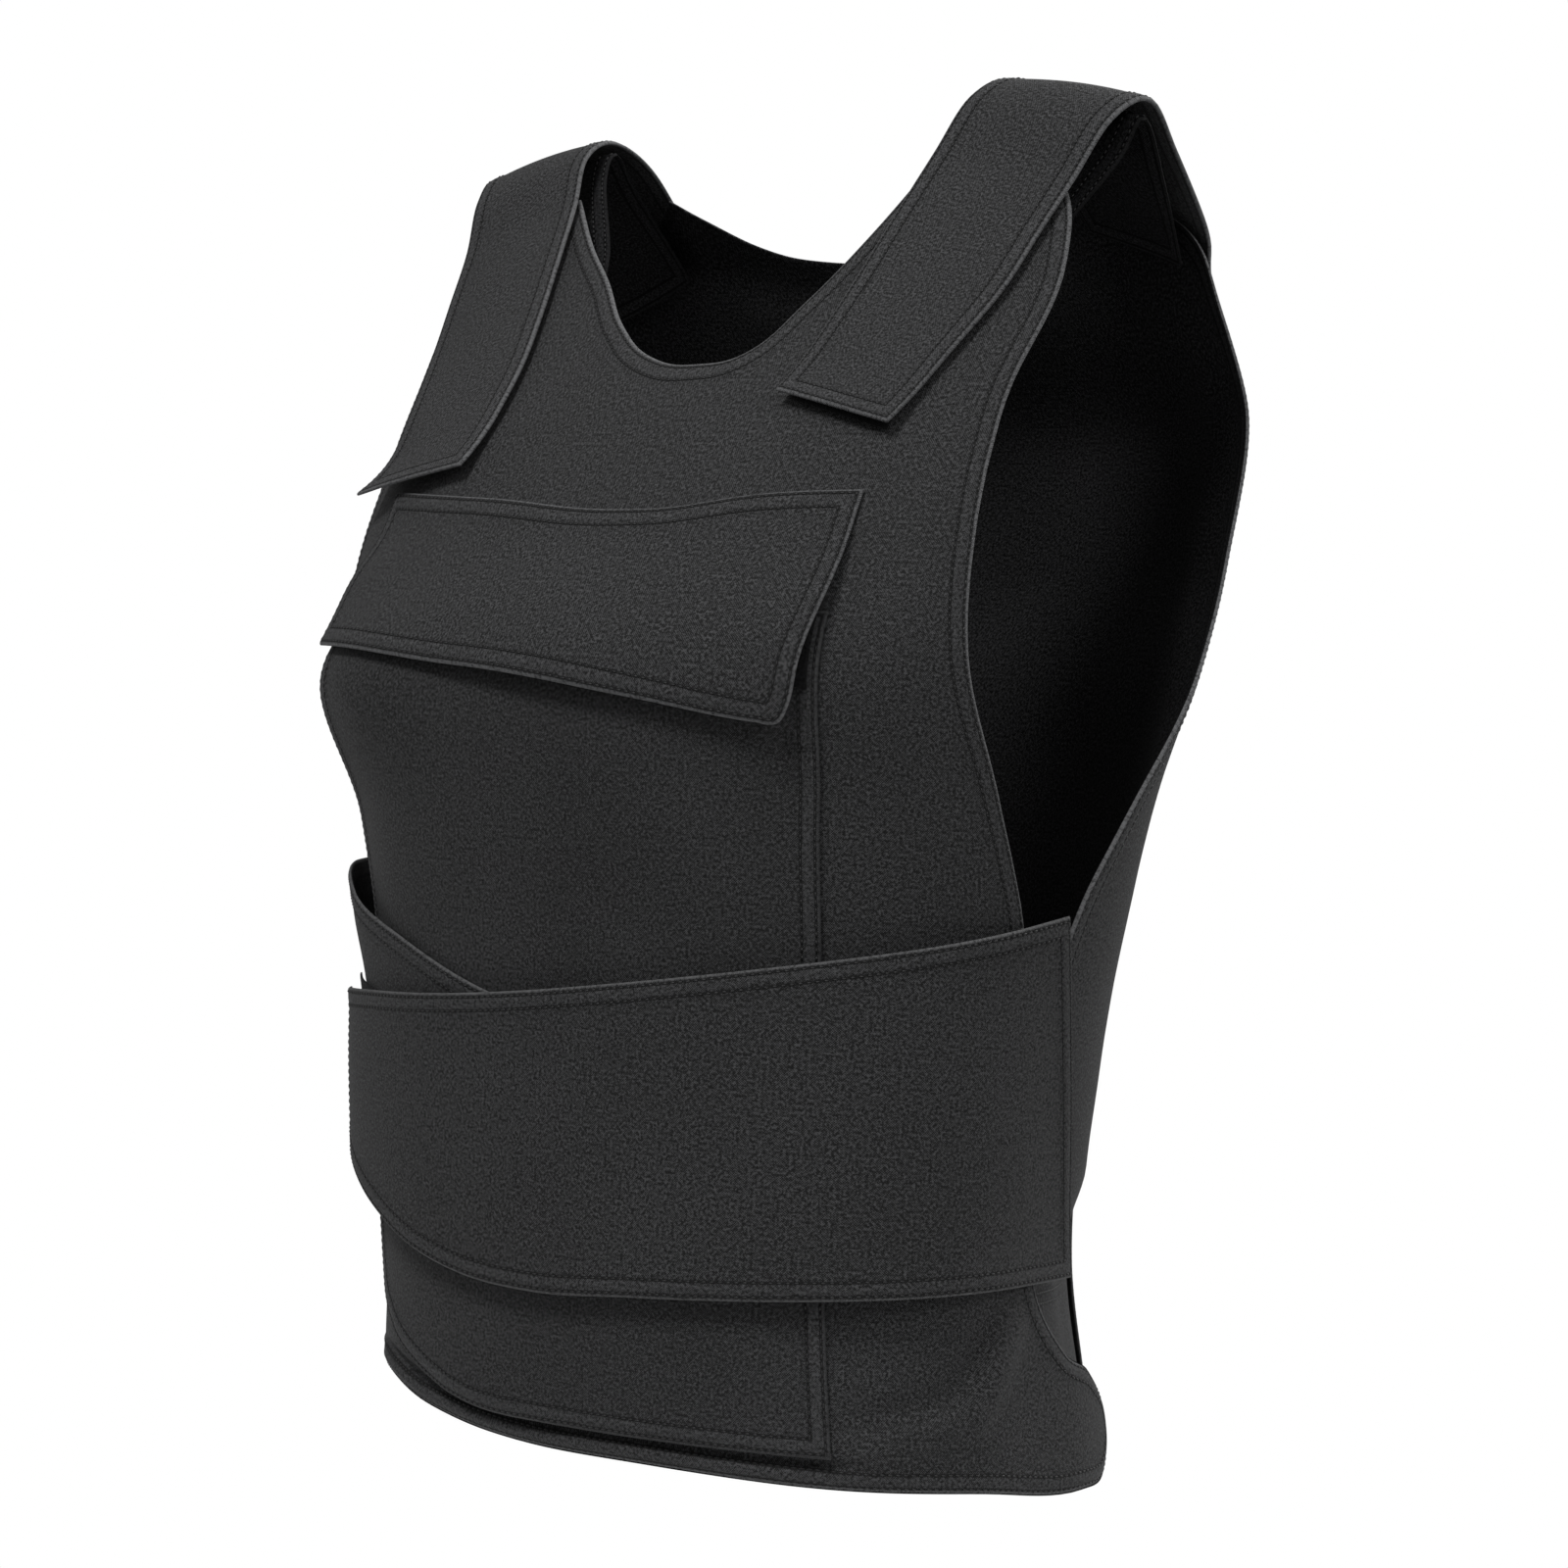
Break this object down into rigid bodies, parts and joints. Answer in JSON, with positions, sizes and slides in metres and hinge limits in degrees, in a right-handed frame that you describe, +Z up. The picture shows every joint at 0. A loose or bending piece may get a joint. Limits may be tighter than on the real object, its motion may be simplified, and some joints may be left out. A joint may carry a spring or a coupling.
{
  "type": "stab vest",
  "caption": "Padded work vest held up as worn: front and back panels, wide shoulder straps, flapped chest and back pockets, and two crossing waist belts.",
  "frame": {"origin": "seat of the shoulder straps: midway between the two shoulders, at the height where the straps bear on them", "axes": "+Z up along the wearer's spine, -Y to the wearer's front, +X to the wearer's left"},
  "size_m": [0.3597, 0.3198, 0.5739],
  "materials": {
    "panel_fabric": "matte twill, soft sheen",
    "strap_fabric": "matte twill, soft sheen",
    "lining": "dull smooth lining",
    "hook_and_loop": "dull nap"
  },
  "bodies": {
    "root": {"front_panel": "panel_fabric", "front_pocket": "panel_fabric", "front_flap": "panel_fabric", "back_panel": "panel_fabric", "back_pocket": "panel_fabric", "back_flap": "panel_fabric", "belt_over": "panel_fabric", "belt_under": "panel_fabric", "strap_left": "strap_fabric", "strap_right": "strap_fabric", "liner_left": "lining", "liner_right": "lining", "flap_patch": "hook_and_loop", "belt_patch": "hook_and_loop", "strap_patch_left": "hook_and_loop", "strap_patch_right": "hook_and_loop"}
  },
  "joints": []
}
